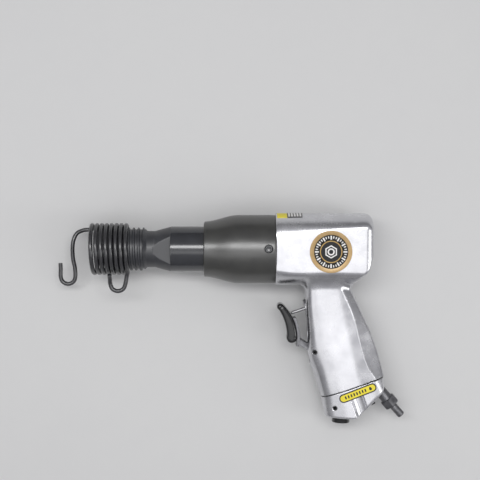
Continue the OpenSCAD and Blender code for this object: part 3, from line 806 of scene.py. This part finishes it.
# the oil label: a dark capsule, a yellow one on it, and on that a drop and a row of upright pills
oil_edge = [capsule(LABEL_REACH, r) for r in (0.001, 1.2, 2.4, 3.3, 3.6)]
oil_print = [capsule(LABEL_REACH, r) for r in (0.001, 1.0, 2.0, 2.65)]
oil_label = sticker("oil_label_edge", oil_edge, on_foot, 0.27)
oil_face = sticker("oil_label_face", oil_print, on_foot, 0.31)
drop_at, drop_sides = 10.9, 30
pill_from, pill_pitch, pill_r, pill_reach, pill_sides = -10.6, 2.45, 0.62, 0.75, 20
oil_marks = [sticker("oil_drop", [[(drop_at, -0.3)] * drop_sides, drop(drop_at, drop_sides)], on_foot, 0.35)]
for i in range(8):
    at = pill_from + pill_pitch * i
    pill = [(at + pill_r * math.cos(a), pill_r * math.sin(a) + (pill_reach if a < math.pi else -pill_reach))
            for a in np.linspace(0, 2 * math.pi, pill_sides, endpoint=False)]
    oil_marks.append(sticker("oil_pill", [[(at, 0)] * pill_sides, pill], on_foot, 0.35))
oil_marks = joined("oil_label_marks", oil_marks)
oil_pieces = [oil_label, oil_face, oil_marks]
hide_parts("oil_label")


def on_spine(p):
    """Points (x, z) on the housing's spine, and the directions out of it."""
    x, z = p.T
    y, yx, yz = height_and_slopes(housing_field, x, z, axis=1, start=31, stop=15)
    up = np.stack([-yx, np.ones(len(y)), -yz], 1)
    return np.stack([x, y, z], 1), up / np.linalg.norm(up, axis=1)[:, None]


def panel(x0, x1, z0, z1):
    """Rings of a rectangle, closing on its middle."""
    corners = [(x0, z0), (x1, z0), (x1, z1), (x0, z1), (x0, z0)]
    edge = [(xa + (xb - xa) * t, za + (zb - za) * t) for (xa, za), (xb, zb) in zip(corners, corners[1:])
            for t in np.linspace(0, 1, 16, endpoint=False)]
    cx, cz = (x0 + x1) / 2, (z0 + z1) / 2
    return [[(cx + (x - cx) * s, cz + (z - cz) * s) for x, z in edge] for s in (0.001, 0.25, 0.5, 0.75, 1)]


# the spine's label: a yellow panel, a black one behind it, and five bars on that
top_sides, bar_pitch = (-6, 13), 2.3
top_yellow = sticker("top_label_yellow", panel(141.4, 149.6, *top_sides), on_spine, 0.22)
top_black = sticker("top_label_black", panel(149.7, 162, *top_sides), on_spine, 0.22)
bars = [sticker("bar", panel(150.5 + bar_pitch * i, 152.0 + bar_pitch * i, -4.5, 11.5), on_spine, 0.27)
        for i in range(5)]
top_marks = joined("top_label_marks", bars)
top_pieces = [top_yellow, top_black, top_marks]
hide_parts("top_label")


# ---------------------------------------------------------------- finishes
def finish(name, shades, rough, metallic=0.0, grain=0.25, stretch=(1, 1, 1), fine=4.0, bump=0.0, wave=0.0,
           wave_grain=0.12, coat=0.0, ior=1.5, dull=None):
    """A procedural finish. shades are the colours that a slow noise moves between, rough the two roughnesses.

    grain and fine are the noises' frequencies per millimetre, stretch scales the fine one along each axis for
    turned metal, bump and wave are the fine and the slow relief in millimetres. dull, if given, is an x in
    millimetres and what the roughness gains in front of it.
    """
    m = bpy.data.materials.new(name)
    m.use_nodes = True
    tree = m.node_tree
    tree.nodes.clear()
    add, join = tree.nodes.new, tree.links.new
    out, shader = add("ShaderNodeOutputMaterial"), add("ShaderNodeBsdfPrincipled")
    join(shader.outputs["BSDF"], out.inputs["Surface"])
    place = add("ShaderNodeTexCoord")

    def noise(frequency, detail, squeeze=(1, 1, 1), roughness=0.5):
        mapping, texture = add("ShaderNodeMapping"), add("ShaderNodeTexNoise")
        mapping.inputs["Scale"].default_value = [s * frequency / MM for s in squeeze]
        texture.inputs["Scale"].default_value = 1.0
        texture.inputs["Detail"].default_value = detail
        texture.inputs["Roughness"].default_value = roughness
        join(place.outputs["Object"], mapping.inputs["Vector"])
        join(mapping.outputs["Vector"], texture.inputs["Vector"])
        return texture.outputs["Fac"]

    # the colour and the roughness follow the slow noise with a part of the fine one added
    slow, quick = noise(grain, 5.0), noise(fine, 3.0, stretch, 0.6)
    mix = add("ShaderNodeMath")
    mix.operation = "MULTIPLY_ADD"
    mix.inputs[1].default_value = 0.35
    join(quick, mix.inputs[0])
    join(slow, mix.inputs[2])
    ramp = add("ShaderNodeValToRGB")
    first, last = 0.42, 0.92
    low, high = ramp.color_ramp.elements
    low.position, high.position = first, last
    low.color, high.color = (*shades[0], 1), (*shades[-1], 1)
    for i, shade_between in enumerate(shades[1:-1]):
        stop = ramp.color_ramp.elements.new(first + (last - first) * (i + 1) / (len(shades) - 1))
        stop.color = (*shade_between, 1)
    join(mix.outputs[0], ramp.inputs["Fac"])
    join(ramp.outputs["Color"], shader.inputs["Base Color"])
    spread = add("ShaderNodeMapRange")
    spread.inputs["From Min"].default_value, spread.inputs["From Max"].default_value = 0.3, 1.0
    spread.inputs["To Min"].default_value, spread.inputs["To Max"].default_value = rough
    join(mix.outputs[0], spread.inputs["Value"])
    roughness = spread.outputs[0]
    if dull:
        split, front, total = add("ShaderNodeSeparateXYZ"), add("ShaderNodeMath"), add("ShaderNodeMath")
        front.operation, total.operation = "LESS_THAN", "MULTIPLY_ADD"
        front.inputs[1].default_value, total.inputs[1].default_value = dull[0] * MM, dull[1]
        join(place.outputs["Object"], split.inputs[0])
        join(split.outputs["X"], front.inputs[0])
        join(front.outputs[0], total.inputs[0])
        join(roughness, total.inputs[2])
        roughness = total.outputs[0]
    join(roughness, shader.inputs["Roughness"])

    # the slow relief first, then the fine one on it
    normal = None
    for relief, signal in ((wave, noise(wave_grain, 2.0)), (bump, quick)):
        if relief:
            dent = add("ShaderNodeBump")
            dent.inputs["Strength"].default_value = 1.0
            dent.inputs["Distance"].default_value = relief * MM
            join(signal, dent.inputs["Height"])
            if normal:
                join(normal, dent.inputs["Normal"])
            normal = dent.outputs["Normal"]
    if normal:
        join(normal, shader.inputs["Normal"])
    shader.inputs["Metallic"].default_value = metallic
    shader.inputs["IOR"].default_value = ior
    shader.inputs["Coat Weight"].default_value = coat
    shader.inputs["Coat Roughness"].default_value = 0.12
    return m


# Turned metal's fine noise changes quickly along the axis and slowly across it.
TURNED = (1.5, 0.06, 0.06)
LOOKS = {
    "cast_aluminium": dict(
        shades=[(0.58, 0.58, 0.605), (0.67, 0.67, 0.695), (0.74, 0.74, 0.76)],
        rough=(0.20, 0.32), metallic=1.0,
        grain=0.08, fine=2.2, bump=0.006, wave=0.12, wave_grain=0.06,
    ),
    "black_steel": dict(
        shades=[(0.012, 0.013, 0.017), (0.020, 0.022, 0.028)], rough=(0.13, 0.21),
        grain=0.15, stretch=TURNED, bump=0.003, ior=1.8, coat=0.1, dull=(CONE_TO + 0.2, 0.28),
    ),
    "black_sleeve": dict(
        shades=[(0.015, 0.015, 0.013), (0.026, 0.026, 0.022)], rough=(0.26, 0.36),
        grain=0.12, stretch=TURNED, fine=3.0, bump=0.005, ior=2.0,
    ),
    "spring_wire": dict(
        shades=[(0.010, 0.010, 0.012), (0.020, 0.020, 0.024)], rough=(0.22, 0.36),
        grain=0.3, fine=3.0, bump=0.006, ior=1.8, coat=0.2,
    ),
    "sintered_bronze": dict(
        shades=[(0.20, 0.16, 0.11), (0.36, 0.30, 0.21)], rough=(0.6, 0.85),
        metallic=0.6, grain=0.6, fine=5.0, bump=0.09,
    ),
    "ground_steel": dict(
        shades=[(0.52, 0.53, 0.55), (0.66, 0.67, 0.69)], rough=(0.22, 0.36),
        metallic=1.0, grain=0.2, stretch=TURNED, bump=0.004,
    ),
    "gasket": dict(
        shades=[(0.24, 0.19, 0.12), (0.36, 0.29, 0.18)], rough=(0.75, 0.92),
        grain=0.8, fine=6.0, bump=0.05,
    ),
    "zinc_steel": dict(
        shades=[(0.30, 0.30, 0.31), (0.44, 0.44, 0.45)], rough=(0.32, 0.46),
        metallic=1.0, grain=0.3, fine=3.5, bump=0.006,
    ),
    "black_plastic": dict(
        shades=[(0.007, 0.007, 0.008), (0.013, 0.013, 0.014)], rough=(0.13, 0.22),
        grain=0.2, bump=0.004, coat=0.3,
    ),
    "dark_pin": dict(
        shades=[(0.012, 0.012, 0.013), (0.03, 0.03, 0.032)], rough=(0.4, 0.6),
        metallic=0.3, grain=0.8, fine=5.0, bump=0.02,
    ),
    "brass": dict(
        shades=[(0.62, 0.46, 0.20), (0.75, 0.58, 0.30)], rough=(0.24, 0.38),
        metallic=1.0, grain=0.3, stretch=TURNED, bump=0.004,
    ),
    "rubber": dict(
        shades=[(0.012, 0.012, 0.012), (0.022, 0.022, 0.022)], rough=(0.62, 0.8),
        grain=0.5, fine=5.0, bump=0.02,
    ),
    "plug_steel": dict(
        shades=[(0.13, 0.13, 0.14), (0.24, 0.24, 0.25)], rough=(0.34, 0.52),
        metallic=1.0, grain=0.35, fine=3.0, bump=0.01,
    ),
    "badge_copper": dict(
        shades=[(0.40, 0.262, 0.110), (0.49, 0.332, 0.150)], rough=(0.3, 0.42),
        metallic=0.35, grain=0.2, fine=3.0, bump=0.003, coat=0.3,
    ),
    "badge_black": dict(
        shades=[(0.006, 0.005, 0.004), (0.013, 0.011, 0.009)], rough=(0.42, 0.55),
        grain=0.3, bump=0.002, ior=1.35,
    ),
    "badge_centre": dict(
        shades=[(0.014, 0.015, 0.016), (0.024, 0.026, 0.028)], rough=(0.42, 0.55),
        grain=0.3, bump=0.002, ior=1.35,
    ),
    "badge_gold": dict(
        shades=[(0.42, 0.27, 0.08), (0.55, 0.37, 0.13)], rough=(0.25, 0.4),
        metallic=0.5, grain=0.4, bump=0.002,
    ),
    "print_white": dict(
        shades=[(0.78, 0.77, 0.75), (0.87, 0.86, 0.84)], rough=(0.35, 0.5),
        grain=0.4, bump=0.002,
    ),
    "print_black": dict(
        shades=[(0.012, 0.012, 0.010), (0.022, 0.021, 0.018)], rough=(0.35, 0.5),
        grain=0.4, bump=0.002,
    ),
    "label_yellow": dict(
        shades=[(0.80, 0.66, 0.030), (0.90, 0.78, 0.06)], rough=(0.36, 0.5),
        grain=0.2, fine=3.0, bump=0.003,
    ),
}
FINISHES = {name: finish(name, **look) for name, look in LOOKS.items()}
SLOT_OF = {s["node"]: s["material_slot"] for s in frame["record"]["subparts"]}
# the slot whose finish has another name
FINISH_OF = {"badge_foil": "badge_copper"}


def dress(obj, finish_name, body=None):
    """Gives the object a finish and, on a piece of this script and the body that it rides on."""
    obj.data.materials.clear()
    obj.data.materials.append(FINISHES[finish_name])
    if body:
        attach(obj, body)


for node, obj in frame["nodes"].items():
    slot = SLOT_OF[node]
    dress(obj, FINISH_OF.get(slot, slot))

for obj, slot, body in (
    (housing, "cast_aluminium", "tool"),
    (foot, "cast_aluminium", "tool"),
    (barrel, "black_steel", "tool"),
    (sleeve, "black_sleeve", "tool"),
    (lock_screw, "black_steel", "tool"),
    (retainer, "spring_wire", "retainer"),
    (pad, "black_plastic", "trigger"),
    (lever, "plug_steel", "trigger"),
    (plug, "plug_steel", "tool"),
    (spindle, "black_plastic", "regulator"),
    (valve_stem, "zinc_steel", "throttle_valve"),
    (trigger_pin, "dark_pin", "tool"),
    (regulator_pin, "dark_pin", "tool"),
    (throttle_coil, "ground_steel", "tool"),
):
    dress(obj, slot, body)
badge_looks = ("badge_copper", "badge_black", "badge_gold", "badge_centre", "print_white", "print_white")
for obj, look in zip(badge_pieces, badge_looks):
    dress(obj, look, "tool")
for obj, look in zip(oil_pieces, ("print_black", "label_yellow", "print_black")):
    dress(obj, look, "tool")
for obj, look in zip(top_pieces, ("label_yellow", "print_black", "print_white")):
    dress(obj, look, "tool")
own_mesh(throttle_coil)

# ---------------------------------------------------------------- floor, light and camera
# The tool rests on its sleeve and on a corner of its foot, so the floor leans a little in the tool's frame.
# Halving the range finds the lean at which the foot's lowest point is as low as the sleeve.
foot_points = np.array([v.co for v in foot.data.vertices]) / MM
low, high = 0.0, 0.15
for _ in range(40):
    lean = (low + high) / 2
    gap = (foot_points[:, 1] * math.sin(lean) + foot_points[:, 2] * math.cos(lean)).min() + SLEEVE_R
    low, high = (lean, high) if gap > 0 else (low, lean)
upwards = Vector((0, math.sin(lean), math.cos(lean)))
floor_gap = 0.1
bpy.ops.mesh.primitive_plane_add(size=6)
floor = bpy.context.object
floor.name = "floor"
floor.rotation_mode = "QUATERNION"
floor.rotation_quaternion = Vector((0, 0, 1)).rotation_difference(upwards)
floor.location = upwards * -(SLEEVE_R + floor_gap) * MM
floor.data.materials.append(finish("floor", [(0.62, 0.62, 0.62), (0.65, 0.65, 0.645)], (0.55, 0.7),
                                   grain=0.004, fine=0.05))


def softbox(name, at, aim, size, power):
    """A rectangular lamp at a place in metres, aimed at another."""
    light = bpy.data.lights.new(name, "AREA")
    light.shape, light.size, light.size_y = "RECTANGLE", size[0], size[1]
    light.energy = power
    obj = link(name, light)
    obj.location = at
    obj.rotation_mode = "QUATERNION"
    obj.rotation_quaternion = (Vector(aim) - Vector(at)).to_track_quat("-Z", "Y")


softbox("key_strip", (-0.10, 0.34, 1.20), (-0.10, 0, 0), (1.30, 0.28), 7.4)
softbox("overhead", (0.27, -0.20, 1.30), (0.27, -0.20, 0), (0.44, 0.70), 0.95)
softbox("grip_band", (-0.34, -0.25, 1.10), (0.10, -0.10, 0), (0.50, 0.80), 1.0)
softbox("back_right", (0.95, -0.20, 0.60), (0.2, -0.05, 0), (0.25, 0.8), 1.9)

# a surround that is darker below than above
world = bpy.data.worlds.new("studio")
bpy.context.scene.world = world
world.use_nodes = True
nodes, links = world.node_tree.nodes, world.node_tree.links
background = nodes["Background"]
sky, split = nodes.new("ShaderNodeTexCoord"), nodes.new("ShaderNodeSeparateXYZ")
ramp = nodes.new("ShaderNodeValToRGB")
links.new(sky.outputs["Generated"], split.inputs["Vector"])
links.new(split.outputs["Z"], ramp.inputs["Fac"])
below, above = ramp.color_ramp.elements
below.position, below.color = 0.0, (0.20, 0.20, 0.205, 1)
above.position, above.color = 1.0, (0.48, 0.48, 0.50, 1)
links.new(ramp.outputs["Color"], background.inputs["Color"])
background.inputs["Strength"].default_value = 1.0

# the camera looks down on the left flank, from a little towards the spine
camera = link("camera", bpy.data.cameras.new("camera"))
camera.data.lens, camera.data.sensor_width = 86, 36
tip, distance = math.radians(4.4), 0.95
aim = Vector((0.111, 0.0075, 0))
back = Vector((0, math.sin(tip), math.cos(tip)))
camera.location = aim + back * distance
camera.rotation_mode = "QUATERNION"
right = Vector((1, 0, 0))
camera.rotation_quaternion = Matrix((right, back.cross(right), back)).transposed().to_quaternion()
bpy.context.scene.camera = camera
bpy.context.scene.view_settings.view_transform = "Standard"
